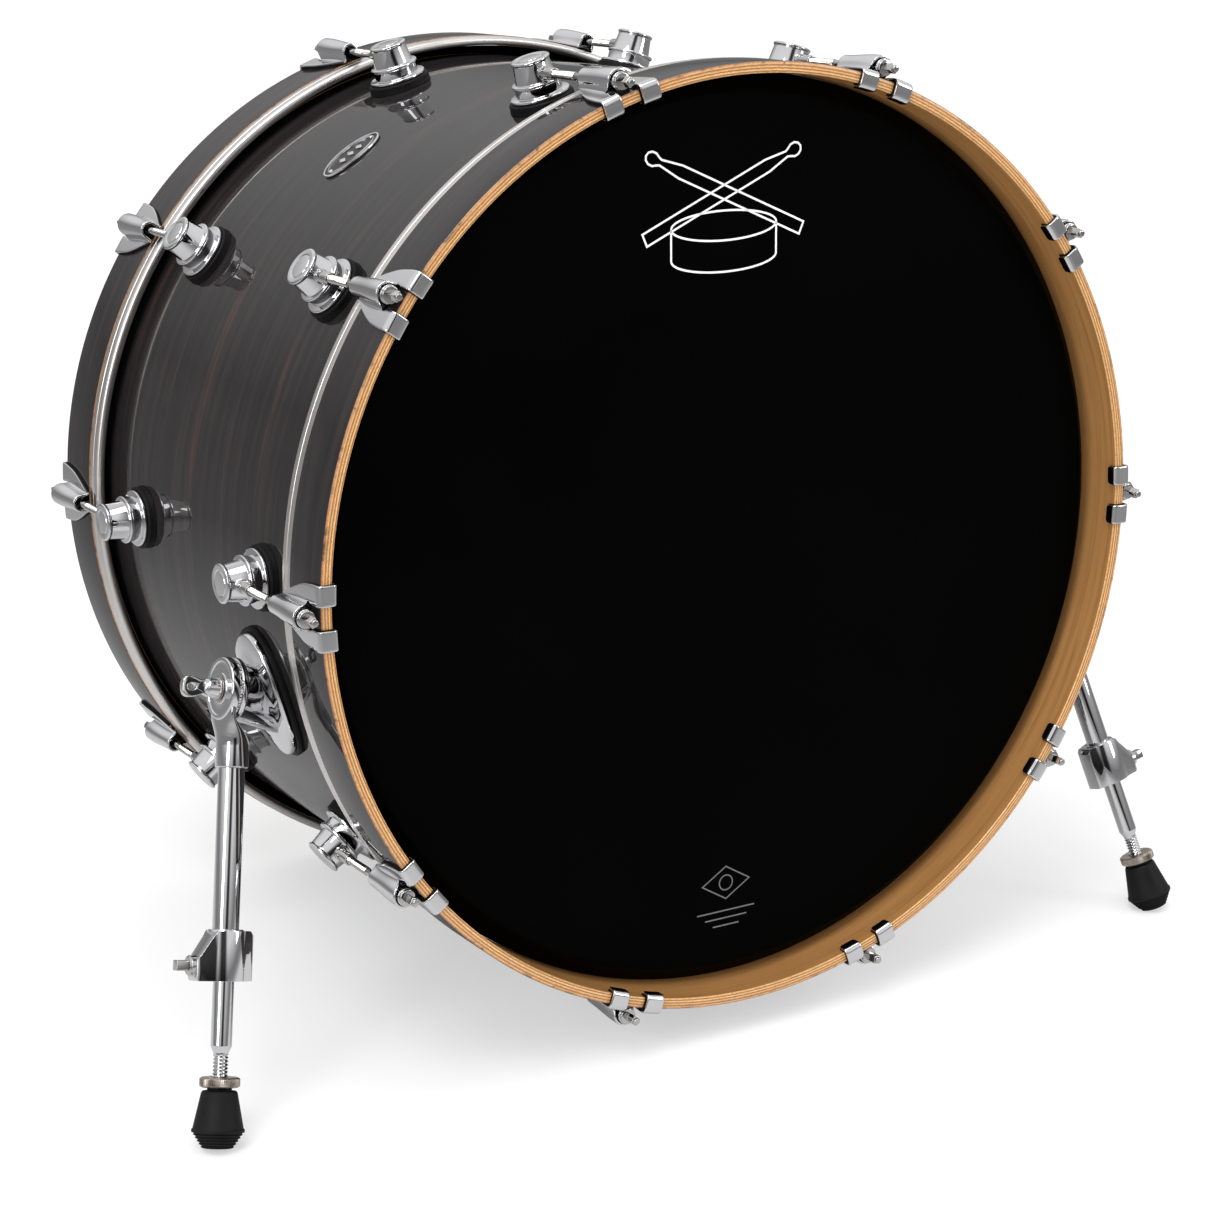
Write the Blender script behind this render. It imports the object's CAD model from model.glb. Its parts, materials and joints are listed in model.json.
"""Studio scene of the bass drum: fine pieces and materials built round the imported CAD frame.

The drum's frame is taken from the CAD: X to the right, Y along the drum from the front hoop
to the rear hoop, Z up before the drum is pitched on its spurs. Outlines and other lengths are
in millimetres; matrices and finished meshes are in metres.
"""
import json
import math
import random

import bmesh
import bpy
from mathutils import Matrix, Vector


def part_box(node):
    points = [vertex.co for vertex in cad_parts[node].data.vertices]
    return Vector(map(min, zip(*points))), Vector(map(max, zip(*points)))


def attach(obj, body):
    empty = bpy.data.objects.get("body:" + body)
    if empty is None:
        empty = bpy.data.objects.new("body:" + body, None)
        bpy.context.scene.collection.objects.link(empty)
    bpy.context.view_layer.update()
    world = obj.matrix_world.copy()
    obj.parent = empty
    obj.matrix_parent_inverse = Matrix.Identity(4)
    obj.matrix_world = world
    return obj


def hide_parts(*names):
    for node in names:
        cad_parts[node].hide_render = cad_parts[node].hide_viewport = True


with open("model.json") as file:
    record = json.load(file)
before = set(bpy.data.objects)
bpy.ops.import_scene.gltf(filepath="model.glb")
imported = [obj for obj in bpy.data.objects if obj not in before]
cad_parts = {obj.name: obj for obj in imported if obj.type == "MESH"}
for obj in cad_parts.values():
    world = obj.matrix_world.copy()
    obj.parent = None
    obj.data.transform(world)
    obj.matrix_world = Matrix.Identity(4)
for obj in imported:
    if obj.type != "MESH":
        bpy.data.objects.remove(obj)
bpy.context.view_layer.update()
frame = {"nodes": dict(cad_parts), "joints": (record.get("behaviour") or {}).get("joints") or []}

MM = 0.001
QUARTER = math.pi / 2

# ---------------- the frame, read from the CAD
JOINTS = {joint["name"]: joint for joint in frame["joints"]}


def joint_axis(name):
    return Vector(JOINTS[name]["axis"]).normalized()


def middle(node):
    low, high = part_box(node)
    return (low + high) / 2


def axes_frame(x, y, z, origin):
    """The matrix of a frame with these axes and origin."""
    return Matrix.Translation(origin) @ Matrix((x, y, z)).transposed().to_4x4()


def shift(x, y, z):
    return Matrix.Translation(Vector((x, y, z)) * MM)


RIGHT = Vector((1, 0, 0))
REARWARD = -joint_axis("front_hoop_loosen")
DRUM = axes_frame(RIGHT, REARWARD, RIGHT.cross(REARWARD), middle("shell"))
TO_DRUM = DRUM.inverted()


def drum_points(node):
    """A CAD node's vertices in the drum's own frame."""
    return [TO_DRUM @ vertex.co / MM for vertex in frame["nodes"][node].data.vertices]


def drum_box(node):
    points = drum_points(node)
    return [Vector([pick(point[i] for point in points) for i in range(3)]) for pick in (min, max)]


HOOP_LOW, HOOP_HIGH = drum_box("front_hoop")
SHELL_HIGH = drum_box("shell")[1]
LUG_LOW, LUG_HIGH = drum_box("front_lug_03")
HALF_LENGTH = -HOOP_LOW.y
HOOP_RADIUS = HOOP_HIGH.x
HOOP_WIDTH = HOOP_HIGH.y - HOOP_LOW.y
SHELL_RADIUS = SHELL_HIGH.x
SHELL_END = SHELL_HIGH.y
LUG_Y = (LUG_LOW.y + LUG_HIGH.y) / 2

HOOP_THICKNESS = 7
HOOP_INNER = HOOP_RADIUS - HOOP_THICKNESS
SHELL_THICKNESS = 8
ROD_LIFT = 7                        # tension rod's axis above the hoop's outer surface
LUG_ANGLES = [math.radians(18 + 36 * i) for i in range(10)]
FACING_FRONT = Matrix.Rotation(QUARTER, 4, "X")           # local Z becomes the drum's -Y
END_FRAMES = {"front": DRUM, "rear": DRUM @ Matrix.Rotation(math.pi, 4, "Z")}


def around(end_frame, angle, radius, y):
    """A frame at an angle from the drum's top, its Z axis pointing outwards."""
    spot = shift(radius * math.sin(angle), y, radius * math.cos(angle))
    return end_frame @ spot @ Matrix.Rotation(angle, 4, "Y")


def lerp(start, end, share):
    return start + (end - start) * share


def eased(value, low, high, start=0.0, end=1.0):
    """A smooth step from start to end while value goes from low to high."""
    share = min(max((value - low) / (high - low), 0.0), 1.0)
    return lerp(start, end, share * share * (3 - 2 * share))


# ---------------- materials
class Graph:
    """The node tree of a material or world, with short calls that add and link its nodes."""

    def __init__(self, owner, end):
        owner.use_nodes = True
        self.owner = owner
        self.tree = owner.node_tree
        self.end = self.tree.nodes[end]
        self.space = self.add("ShaderNodeTexCoord").outputs

    def add(self, kind, **settings):
        node = self.tree.nodes.new(kind)
        for key, value in settings.items():
            setattr(node, key, value)
        return node

    def feed(self, node, values):
        """Links or sets a node's inputs, given by name or number."""
        for key, value in values.items():
            socket = node.inputs[key]
            if isinstance(value, bpy.types.NodeSocket):
                self.tree.links.new(value, socket)
            elif isinstance(value, tuple) and len(value) == 3 and socket.type == "RGBA":
                socket.default_value = (*value, 1.0)
            else:
                socket.default_value = value

    def set(self, **inputs):
        """Feeds the end node; an underscore stands for a space in an input's name."""
        self.feed(self.end, {name.replace("_", " "): value for name, value in inputs.items()})

    def maths(self, operation, *values):
        node = self.add("ShaderNodeMath", operation=operation)
        self.feed(node, dict(enumerate(values)))
        return node.outputs[0]

    def axis(self, name, vector=None):
        node = self.add("ShaderNodeSeparateXYZ")
        self.feed(node, {0: vector or self.space["Object"]})
        return node.outputs[name]

    def radius(self):
        """Distance from the object's Z axis."""
        squares = [self.maths("MULTIPLY", self.axis(name), self.axis(name)) for name in "XY"]
        return self.maths("SQRT", self.maths("ADD", *squares))

    def noise(self, scale, detail=3.0, roughness=0.5, distortion=0.0):
        """Noise over the object; a scale of three numbers is taken along each axis."""
        vector = self.space["Object"]
        if isinstance(scale, tuple):
            mapping = self.add("ShaderNodeMapping")
            self.feed(mapping, {"Vector": vector, "Scale": scale})
            vector = mapping.outputs[0]
            scale = 1.0
        node = self.add("ShaderNodeTexNoise")
        self.feed(node, {"Vector": vector, "Scale": scale, "Detail": detail,
                         "Roughness": roughness, "Distortion": distortion})
        return node.outputs["Fac"]

    def ramp(self, factor, *stops):
        """A colour ramp; stops are (position, colour or grey level)."""
        node = self.add("ShaderNodeValToRGB")
        self.feed(node, {0: factor})
        elements = node.color_ramp.elements
        while len(elements) < len(stops):
            elements.new(0.5)
        for element, (position, colour) in zip(elements, stops):
            if not isinstance(colour, tuple):
                colour = (colour, colour, colour)
            element.position = position
            element.color = (*colour, 1.0)
        return node.outputs["Color"]

    def range(self, factor, low, high, to_low, to_high):
        """Maps a value linearly from one range to another, clamped."""
        node = self.add("ShaderNodeMapRange")
        self.feed(node, dict(enumerate((factor, low, high, to_low, to_high))))
        return node.outputs[0]

    def mix(self, factor, first, second, blend="MIX"):
        node = self.add("ShaderNodeMix", data_type="RGBA", blend_type=blend)
        self.feed(node, {0: factor, 6: first, 7: second})
        return node.outputs[2]

    def bump(self, height, distance, strength=1.0, target="Normal"):
        node = self.add("ShaderNodeBump")
        self.feed(node, {"Strength": strength, "Distance": distance * MM, "Height": height})
        self.feed(self.end, {target: node.outputs[0]})


def paint(name, roughness=0.5, metallic=0.0):
    graph = Graph(bpy.data.materials.new(name), "Principled BSDF")
    graph.set(Roughness=roughness, Metallic=metallic)
    return graph


def ebony_lacquer():
    """Dark stained veneer whose figure runs round the drum, under gloss lacquer."""
    graph = paint("ebony_lacquer", 0.40)
    figure = graph.noise((5.0, 5.0, 150.0), 6.0, 0.62, 0.35)
    broad = graph.noise((4.0, 4.0, 26.0), 3.0, 0.5, 0.8)
    fleck = graph.noise((26.0, 26.0, 120.0), 4.0, 0.6, 0.4)
    base = graph.ramp(
        figure,
        (0.30, (0.0125, 0.0113, 0.0120)), (0.52, (0.0170, 0.0152, 0.0158)),
        (0.66, (0.0270, 0.0205, 0.0200)),
    )
    streak = graph.maths("MULTIPLY", graph.range(figure, 0.50, 0.72, 0.0, 1.0),
                         graph.range(fleck, 0.46, 0.60, 0.1, 1.3))
    red = graph.maths("MULTIPLY", graph.range(broad, 0.52, 0.70, 0.0, 0.55), streak)
    graph.set(
        Base_Color=graph.mix(red, base, (0.085, 0.038, 0.029)),
        Specular_IOR_Level=0.0,
        Coat_Weight=0.68,
        Coat_Roughness=graph.range(broad, 0.3, 0.7, 0.018, 0.045),
    )
    graph.bump(graph.noise(90.0, 2.0), 0.05, 0.35, "Coat Normal")
    return graph.owner


WOOD_GLOW = 0.12                    # stands in for light passing between the pale faces


def maple(name, light, dark):
    """Clear lacquered maple, as its graph and colour."""
    graph = paint(name, 0.36)
    grain = graph.noise((7.0, 7.0, 240.0), 6.0, 0.62, 0.5)
    cloud = graph.noise(9.0, 3.0, 0.5, 0.6)
    wood = graph.ramp(grain, (0.28, dark), (0.50, light), (0.75, tuple(1.18 * c for c in light)))
    wood = graph.mix(graph.range(cloud, 0.35, 0.75, 0.0, 0.35), wood, dark)
    graph.set(Base_Color=wood, Emission_Color=wood, Emission_Strength=WOOD_GLOW,
              Coat_Weight=0.55, Coat_Roughness=0.12)
    graph.bump(grain, 0.06, 0.4)
    return graph, wood


def hoop_maple():
    """Maple whose cut edges, at the hoop's two faces, show the plies and dark stain marks."""
    graph, wood = maple("hoop_maple", (0.335, 0.165, 0.055), (0.235, 0.105, 0.032))
    inwards = graph.maths("SUBTRACT", graph.radius(), HOOP_INNER * MM)
    depth = graph.maths("DIVIDE", inwards, HOOP_THICKNESS * MM)
    fibre = graph.noise(720.0, 4.0, 0.6)
    depth = graph.maths("ADD", depth, graph.range(fibre, 0.3, 0.7, -0.03, 0.03))
    plies = graph.ramp(
        depth,
        (0.00, (0.72, 0.40, 0.15)), (0.17, (0.17, 0.060, 0.018)), (0.26, (0.80, 0.47, 0.18)),
        (0.42, (0.14, 0.048, 0.015)), (0.50, (0.72, 0.39, 0.14)), (0.68, (0.20, 0.070, 0.021)),
        (0.77, (0.66, 0.36, 0.14)), (0.97, (0.22, 0.09, 0.03)),
    )
    plies = graph.mix(graph.range(fibre, 0.45, 0.75, 0.0, 0.45), plies, (0.25, 0.10, 0.03))
    stain = graph.noise(55.0, 4.0, 0.7, 1.2)
    outer = graph.range(depth, 0.62, 0.98, 0.0, 1.0)
    blot = graph.maths("MULTIPLY", graph.range(stain, 0.53, 0.62, 0.0, 0.85), outer)
    plies = graph.mix(blot, plies, (0.012, 0.008, 0.006))
    height = graph.axis("Z")
    front = graph.maths("GREATER_THAN", height, (HALF_LENGTH - 1.0) * MM)
    back = graph.maths("LESS_THAN", height, (HALF_LENGTH - HOOP_WIDTH + 0.5) * MM)
    wood = graph.mix(graph.maths("MAXIMUM", front, back), wood, plies)
    graph.set(Base_Color=wood, Emission_Color=wood)
    return graph.owner


def mottled(name, cloud, colours, roughness=None, bump=None, metallic=0.0, **inputs):
    """A material whose colour and roughness follow a noise.

    Colours and roughness are given at a low and a high value of the noise; bump is
    (noise or None for the same one, distance, strength).
    """
    graph = paint(name, metallic=metallic)
    noise = graph.noise(*cloud)
    graph.set(Base_Color=graph.ramp(noise, *colours), **inputs)
    if roughness:
        graph.set(Roughness=graph.range(noise, *roughness))
    if bump:
        grain, distance, strength = bump
        graph.bump(graph.noise(*grain) if grain else noise, distance, strength)
    return graph.owner


def black_film():
    """Coated black head film with a very fine tooth."""
    return mottled("black_film", (6.0,), [(0.3, 0.0004), (0.7, 0.0008)], (0.3, 0.7, 0.46, 0.56),
                   ((900.0, 2.0), 0.02, 0.3), Specular_IOR_Level=0.015)


def chrome(name="chrome", colour=(0.68, 0.68, 0.695), low=0.02, high=0.06):
    """Polished plating with faint handling marks and casting waviness."""
    graph = paint(name, metallic=1.0)
    smudge = graph.noise(140.0, 5.0, 0.6)
    graph.set(Base_Color=colour, Roughness=graph.range(smudge, 0.35, 0.70, low, high))
    graph.bump(graph.noise(60.0, 2.0), 0.05, 0.25)
    return graph.owner


def satin_aluminium():
    """Extruded ring, brushed along its length."""
    graph = paint("satin_aluminium", metallic=1.0)
    brush = graph.noise((14.0, 14.0, 2600.0), 4.0, 0.7)
    colour = graph.ramp(graph.noise(22.0), (0.3, (0.66, 0.63, 0.61)), (0.7, (0.76, 0.73, 0.71)))
    graph.set(Base_Color=colour, Anisotropic=0.4,
              Roughness=graph.range(brush, 0.3, 0.7, 0.24, 0.42))
    graph.bump(brush, 0.03, 0.4)
    return graph.owner


def rubber(name="black_rubber", level=0.0035):
    """Moulded black rubber with a fine matt grain."""
    return mottled(name, (90.0, 4.0, 0.6), [(0.35, level), (0.75, 1.9 * level)],
                   (0.3, 0.7, 0.48, 0.72), ((1400.0, 3.0, 0.6), 0.04, 0.5),
                   Specular_IOR_Level=0.18)


def worn_nickel():
    """Satin nickel with brownish tarnish between the knurls."""
    colours = [(0.35, (0.30, 0.25, 0.21)), (0.65, (0.50, 0.45, 0.40))]
    return mottled("worn_nickel", (260.0, 4.0, 0.6), colours, (0.3, 0.7, 0.22, 0.45),
                   metallic=1.0)


def enamel():
    """The badge's dark ground."""
    return mottled("badge_enamel", (600.0, 3.0, 0.6), [(0.35, 0.003), (0.75, 0.009)],
                   bump=(None, 0.03, 0.4), Roughness=0.28, Specular_IOR_Level=0.1,
                   Coat_Weight=0.25)


def printed_ink(name, level):
    """Ink printed on the film, slightly uneven."""
    return mottled(name, (420.0, 3.0, 0.6), [(0.30, 0.85 * level), (0.60, level)],
                   bump=(None, 0.02, 0.3))


EBONY = ebony_lacquer()
HOOP_MAPLE = hoop_maple()
SHELL_MAPLE = maple("shell_maple", (0.52, 0.31, 0.14), (0.38, 0.20, 0.08))[0].owner
FILM = black_film()
CHROME = chrome()
ROD_CHROME = chrome("rod_chrome", (0.52, 0.51, 0.50), 0.05, 0.12)
ALUMINIUM = satin_aluminium()
RUBBER = rubber()
GASKET = rubber("gasket_rubber", 0.002)
NICKEL = worn_nickel()
ENAMEL = enamel()
WHITE_INK = printed_ink("white_ink", 0.86)
GREY_INK = printed_ink("grey_ink", 0.13)


# ---------------- mesh helpers
def rounded(corners, closed=False, steps=5):
    """A line through corners (x, y, radius), each turned into an arc of its radius."""
    line = []
    count = len(corners)
    for i, (x, y, radius) in enumerate(corners):
        here = Vector((x, y))
        at_end = not closed and i in (0, count - 1)
        if radius <= 0 or at_end:
            line.append((x, y))
            continue
        before = Vector(corners[i - 1][:2]) - here
        after = Vector(corners[(i + 1) % count][:2]) - here
        half = before.angle(after) / 2
        reach = min(radius / math.tan(half), 0.49 * before.length, 0.49 * after.length)
        size = reach * math.tan(half)
        bisector = (before.normalized() + after.normalized()).normalized()
        centre = here + bisector * (size / math.sin(half))
        start = here + before.normalized() * reach - centre
        end = here + after.normalized() * reach - centre
        first = math.atan2(start.y, start.x)
        sweep = math.atan2(start.x * end.y - start.y * end.x, start.dot(end))
        for k in range(steps + 1):
            angle = first + sweep * k / steps
            line.append((centre.x + size * math.cos(angle), centre.y + size * math.sin(angle)))
    return line


def turns(count):
    """Evenly spaced angles round a full turn."""
    return [math.tau * i / count for i in range(count)]


def skin(rings, closed=False, caps=False):
    """A bmesh over rings of points, any of which may be a single point."""
    shape = bmesh.new()
    rings = [[shape.verts.new(point) for point in ring] for ring in rings]
    following = rings[1:] + rings[:1] if closed else rings[1:]
    for first, second in zip(rings, following):
        count = max(len(first), len(second))
        for i in range(count):
            j = (i + 1) % count
            corners = [
                first[i % len(first)],
                second[i % len(second)],
                second[j % len(second)],
                first[j % len(first)],
            ]
            shape.faces.new(dict.fromkeys(corners))
    if caps:
        shape.faces.new(rings[0])
        shape.faces.new(rings[-1])
    return shape


def lathe(corners, segments=64, steps=4, closed=False, scallop=None):
    """A bmesh turned about Z from corners (radius, height, fillet).

    scallop(radius, height, angle) may return a changed radius, for knurls and teeth.
    """
    rings = []
    for radius, height in rounded(corners, closed, steps):
        ring = []
        for angle in turns(segments if radius > 0 else 1):
            local = scallop(radius, height, angle) if scallop else radius
            ring.append((local * math.cos(angle), local * math.sin(angle), height))
        rings.append(ring)
    return skin(rings, closed)


def prism(outline, low, high, hole=None):
    """A bmesh prism of an outline in XY between two heights, round a hole if one is given."""
    rows = [(outline, low), (outline, high)]
    if hole:
        rows = [(hole, low), *rows, (hole, high)]
    rings = [[(x, y, height) for x, y in loop] for loop, height in rows]
    return skin(rings, closed=bool(hole), caps=not hole)


def bevelled(shape, width, angle, segments=3):
    """Rounds a bmesh's edges above an angle."""
    bmesh.ops.recalc_face_normals(shape, faces=shape.faces)
    limit = math.radians(angle)
    edges = [e for e in shape.edges if len(e.link_faces) == 2 and e.calc_face_angle(0) > limit]
    bmesh.ops.bevel(shape, geom=edges, offset=width, segments=segments, profile=0.5,
                    affect="EDGES", clamp_overlap=True)
    return shape


def smoothed(mesh, sharp):
    mesh.shade_smooth()
    mesh.set_sharp_from_angle(angle=math.radians(sharp))
    return mesh


def finished(shapes, name, sharp=35.0):
    """One smooth-shaded mesh in metres from a bmesh, or from several that touch or overlap."""
    whole = bmesh.new()
    for shape in shapes if isinstance(shapes, list) else [shapes]:
        bmesh.ops.recalc_face_normals(shape, faces=shape.faces)
        scrap = bpy.data.meshes.new("part")
        shape.to_mesh(scrap)
        shape.free()
        whole.from_mesh(scrap)
        bpy.data.meshes.remove(scrap)
    bmesh.ops.scale(whole, vec=(MM, MM, MM), verts=whole.verts)
    mesh = bpy.data.meshes.new(name)
    whole.to_mesh(mesh)
    whole.free()
    return smoothed(mesh, sharp)


def turned(name, corners, segments=64, closed=False, steps=4, scallop=None):
    """A turned mesh from corners (radius, height, fillet)."""
    return finished(lathe(corners, segments, steps, closed, scallop), name)


def linked(name, data):
    item = bpy.data.objects.new(name, data)
    bpy.context.scene.collection.objects.link(item)
    return item


def sheet(*grids):
    """A bmesh of quads over grids of points, joined where a point repeats."""
    shape = bmesh.new()
    points = dict.fromkeys(point for grid in grids for row in grid for point in row)
    made = {point: shape.verts.new(point) for point in points}
    for grid in grids:
        for first, second in zip(grid, grid[1:]):
            for corners in zip(first, second, second[1:], first[1:]):
                shape.faces.new([made[point] for point in corners])
    return shape


def modelled(shape, name, sharp, modifiers=()):
    """A smooth-shaded mesh in metres from an open bmesh after (type, settings) modifiers."""
    mesh = bpy.data.meshes.new(name)
    shape.to_mesh(mesh)
    shape.free()
    work = linked(name, mesh)
    for kind, settings in modifiers:
        modifier = work.modifiers.new(kind.lower(), kind)
        for key, value in settings.items():
            setattr(modifier, key, value)
    bpy.context.view_layer.update()
    graph = bpy.context.evaluated_depsgraph_get()
    mesh = bpy.data.meshes.new_from_object(work.evaluated_get(graph))
    bpy.data.objects.remove(work)
    mesh.transform(Matrix.Scale(MM, 4))
    return smoothed(mesh, sharp)


def place(name, mesh, matrix, body, coat, node=None):
    """Adds a piece at a matrix, riding on a CAD body and standing for a CAD node if named."""
    piece = linked(name, mesh)
    piece.matrix_world = matrix
    if not mesh.materials:
        mesh.materials.append(coat)
    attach(piece, body)
    if node:
        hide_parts(node)


def on_shell(name, mesh, coat=None, node=None, matrix=DRUM):
    """Adds a piece that is fixed to the shell."""
    place(name, mesh, matrix, "shell_unit", coat or CHROME, node)


# ---------------- shell
EDGE_SET_BACK = 6
EDGE_SLOPE_DEPTH = 7
BARE_EDGE = EDGE_SLOPE_DEPTH + 1.6


def build_shell():
    """The shell: lacquered outside, bare maple bearing edges and inside."""
    peak = SHELL_RADIUS - EDGE_SET_BACK
    inner = SHELL_RADIUS - SHELL_THICKNESS
    cut = peak - inner
    mesh = turned("shell_wood", [
        (peak, SHELL_END, 0.5), (SHELL_RADIUS, SHELL_END - EDGE_SLOPE_DEPTH, 1.2),
        (SHELL_RADIUS, SHELL_END - BARE_EDGE, 0), (SHELL_RADIUS, BARE_EDGE - SHELL_END, 0),
        (SHELL_RADIUS, EDGE_SLOPE_DEPTH - SHELL_END, 1.2), (peak, -SHELL_END, 0.5),
        (inner, cut - SHELL_END, 0.4), (inner, SHELL_END - cut, 0.4),
    ], 256, closed=True)
    mesh.materials.append(EBONY)
    mesh.materials.append(SHELL_MAPLE)
    for polygon in mesh.polygons:
        x, y, z = polygon.center / MM
        lacquered = math.hypot(x, y) > SHELL_RADIUS - 0.15 and abs(z) < SHELL_END - BARE_EDGE
        polygon.material_index = 0 if lacquered else 1
    on_shell("shell_wood", mesh, EBONY, "shell", DRUM @ FACING_FRONT)


# ---------------- hoops and heads
def build_hoop(end):
    """A counterhoop: stained outside, amber inside, ply edge showing at the front."""
    back = HALF_LENGTH - HOOP_WIDTH
    mesh = turned(end + "_hoop_wood", [
        (HOOP_INNER, HALF_LENGTH, 1.1), (HOOP_RADIUS, HALF_LENGTH, 1.3),
        (HOOP_RADIUS, back, 0.6), (HOOP_INNER, back, 0.6),
    ], 256, closed=True, steps=5)
    mesh.materials.append(HOOP_MAPLE)
    mesh.materials.append(EBONY)
    for polygon in mesh.polygons:
        radius = math.hypot(polygon.center.x, polygon.center.y) / MM
        polygon.material_index = 1 if radius > HOOP_RADIUS - 0.12 else 0
    place(end + "_hoop_wood", mesh, END_FRAMES[end] @ FACING_FRONT, end + "_hoop_set",
          HOOP_MAPLE, end + "_hoop")


FLESH_OUTER = HOOP_RADIUS - 0.5
FLESH_INNER = HOOP_RADIUS - 6.6
FLESH_TOP = HALF_LENGTH - HOOP_WIDTH - 0.3
FLESH_DEPTH = 12.5
COLLAR_RADIUS = HOOP_RADIUS - 8
COLLAR_DROP = 11.5
FILM_FRONT = SHELL_END + 1
FILM_SKIN = 0.5


def build_head(end):
    """The film with its collar, and the satin flesh hoop that holds it."""
    matrix = END_FRAMES[end] @ FACING_FRONT
    body = end + "_hoop_set"
    crown = SHELL_RADIUS - EDGE_SET_BACK + 0.4
    collar = FILM_FRONT - COLLAR_DROP
    tucked = FLESH_TOP - 7
    mesh = turned(end + "_head_film", [
        (0, FILM_FRONT, 0), (crown / 2, FILM_FRONT, 0), (crown, FILM_FRONT, 2.5),
        (COLLAR_RADIUS, collar, 2), (COLLAR_RADIUS + 0.6, FLESH_TOP + 0.2, 0.4),
        (COLLAR_RADIUS + 1.1, tucked, 0.2), (COLLAR_RADIUS + 0.2, tucked, 0.2),
        (COLLAR_RADIUS - FILM_SKIN, collar - 0.2, 2),
        (crown - 0.2, FILM_FRONT - FILM_SKIN, 2.5), (0, FILM_FRONT - FILM_SKIN, 0),
    ], 256, steps=6)
    place(end + "_head_film", mesh, matrix, body, FILM, end + "_head")
    low = FLESH_TOP - FLESH_DEPTH
    groove = FLESH_TOP - 0.45 * FLESH_DEPTH
    mesh = turned(end + "_flesh_hoop", [
        (FLESH_INNER, FLESH_TOP, 0.4), (FLESH_OUTER, FLESH_TOP, 0.5),
        (FLESH_OUTER, groove + 0.4, 0.1), (FLESH_OUTER - 0.5, groove, 0.1),
        (FLESH_OUTER, groove - 0.4, 0.1), (FLESH_OUTER, low, 3.4), (FLESH_INNER, low, 2.2),
    ], 256, closed=True, steps=7)
    place(end + "_flesh_hoop", mesh, matrix, body, ALUMINIUM)


# ---------------- lugs
GASKET_TOP = 5.2
CAP_RADIUS = 12.5
TURRET = [                          # radius, height above the shell, fillet
    (0, 29.30, 0), (7.3, 29.30, 0.1), (7.6, 28.85, 0.15), (8.4, 29.35, 0.2),
    (11.0, 29.50, 0.5), (12.2, 28.90, 0.7), (12.2, 27.80, 0.5), (11.6, 27.40, 0.3),
    (11.5, 26.60, 0.6), (12.9, 15.60, 0.4), (15.6, 15.50, 0.8), (15.6, 13.60, 0.7),
    (14.6, 13.30, 0.2), (14.6, 7.70, 0.3), (18.6, 7.50, 0.8), (18.6, 5.60, 0.5),
    (14.0, 5.30, 0), (0, 5.30, 0),
]


def lug_gasket():
    """The thick rubber seat under the lug, its underside dropped onto the curved shell."""
    foot = 0.15
    shape = lathe([
        (0, GASKET_TOP, 0), (19.6, GASKET_TOP, 0.8), (20.3, 4.2, 0.6), (20.4, 1.6, 0.4),
        (20.8, foot, 0.1), (10, foot, 0), (0, foot, 0),
    ], 64, steps=3)
    for vertex in shape.verts:
        if vertex.co.z <= 0.5:
            lateral = vertex.co.x
            vertex.co.z += math.sqrt(SHELL_RADIUS ** 2 - lateral ** 2) - SHELL_RADIUS
    return finished(shape, "lug_gasket")


def swivel_nut():
    """The nut's long collar that stands out of the cap and takes the rod, axis along Z."""
    return turned("swivel_nut", [
        (4.4, -9, 0.3), (4.4, 5, 0.2), (3.7, 5.4, 0.2), (3.7, 17.4, 0.5), (2.75, 17.4, 0.3),
        (2.75, -9, 0),
    ], 40, closed=True, steps=3)


def shell_screw():
    """A mounting screw's head and washer inside the shell, Z outwards."""
    seat = -SHELL_THICKNESS - 0.3
    return turned("lug_screw", [
        (0, -0.5, 0), (3, -0.5, 0), (3, seat, 0), (8, seat, 0.3), (8, seat - 1.4, 0.4),
        (5.2, seat - 1.5, 0.2), (4.6, seat - 4.2, 0.8), (0, seat - 4.6, 0),
    ], 24, steps=2)


def build_lugs():
    turret = turned("lug_body", TURRET, 72)
    gasket = lug_gasket()
    nut = swivel_nut()
    screw = shell_screw()
    rod_height = HOOP_RADIUS + ROD_LIFT - SHELL_RADIUS
    nut_place = shift(0, 4 - CAP_RADIUS, rod_height) @ FACING_FRONT
    for end in END_FRAMES:
        for number, angle in enumerate(LUG_ANGLES, start=1):
            name = "%s_lug_%02d" % (end, number)
            seat = around(END_FRAMES[end], angle, SHELL_RADIUS, LUG_Y)
            for kind, mesh, matrix, metal, node in (
                ("_turret", turret, seat, CHROME, name),
                ("_gasket", gasket, seat, GASKET, None),
                ("_nut", nut, seat @ nut_place, ROD_CHROME, None),
                ("_screw", screw, seat, ROD_CHROME, None),
            ):
                on_shell(name + kind, mesh, metal, node, matrix)


# ---------------- claws and tension rods
CLAW_SHEET = 1.7
CLAW_CLEAR = 1.35                   # the sheet's underside above the hoop, over its pad
TUBE_MOUTH = 7                      # distances behind the hoop's face
TUBE_REAR = 45
NOTCH_END = 12.5
TUBE_MOUTH_RADIUS = 5.9
TUBE_REAR_RADIUS = 4.2
CLAW_OUTLINE = [                    # distance behind the hoop's face, half width
    (-12, 19.4), (4, 19.4), (12, 18.5), (19, 17.3), (27, 14.5), (33, 11.9), (38, 9.5),
    (42, 7.6), (45, 6.5),
]
NOTCH_OUTLINE = [(-12, 7.0), (2, 7.0), (6, 7.4), (9, 7.9), (12.5, 8.8)]
ARM_POINTS = 5


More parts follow.
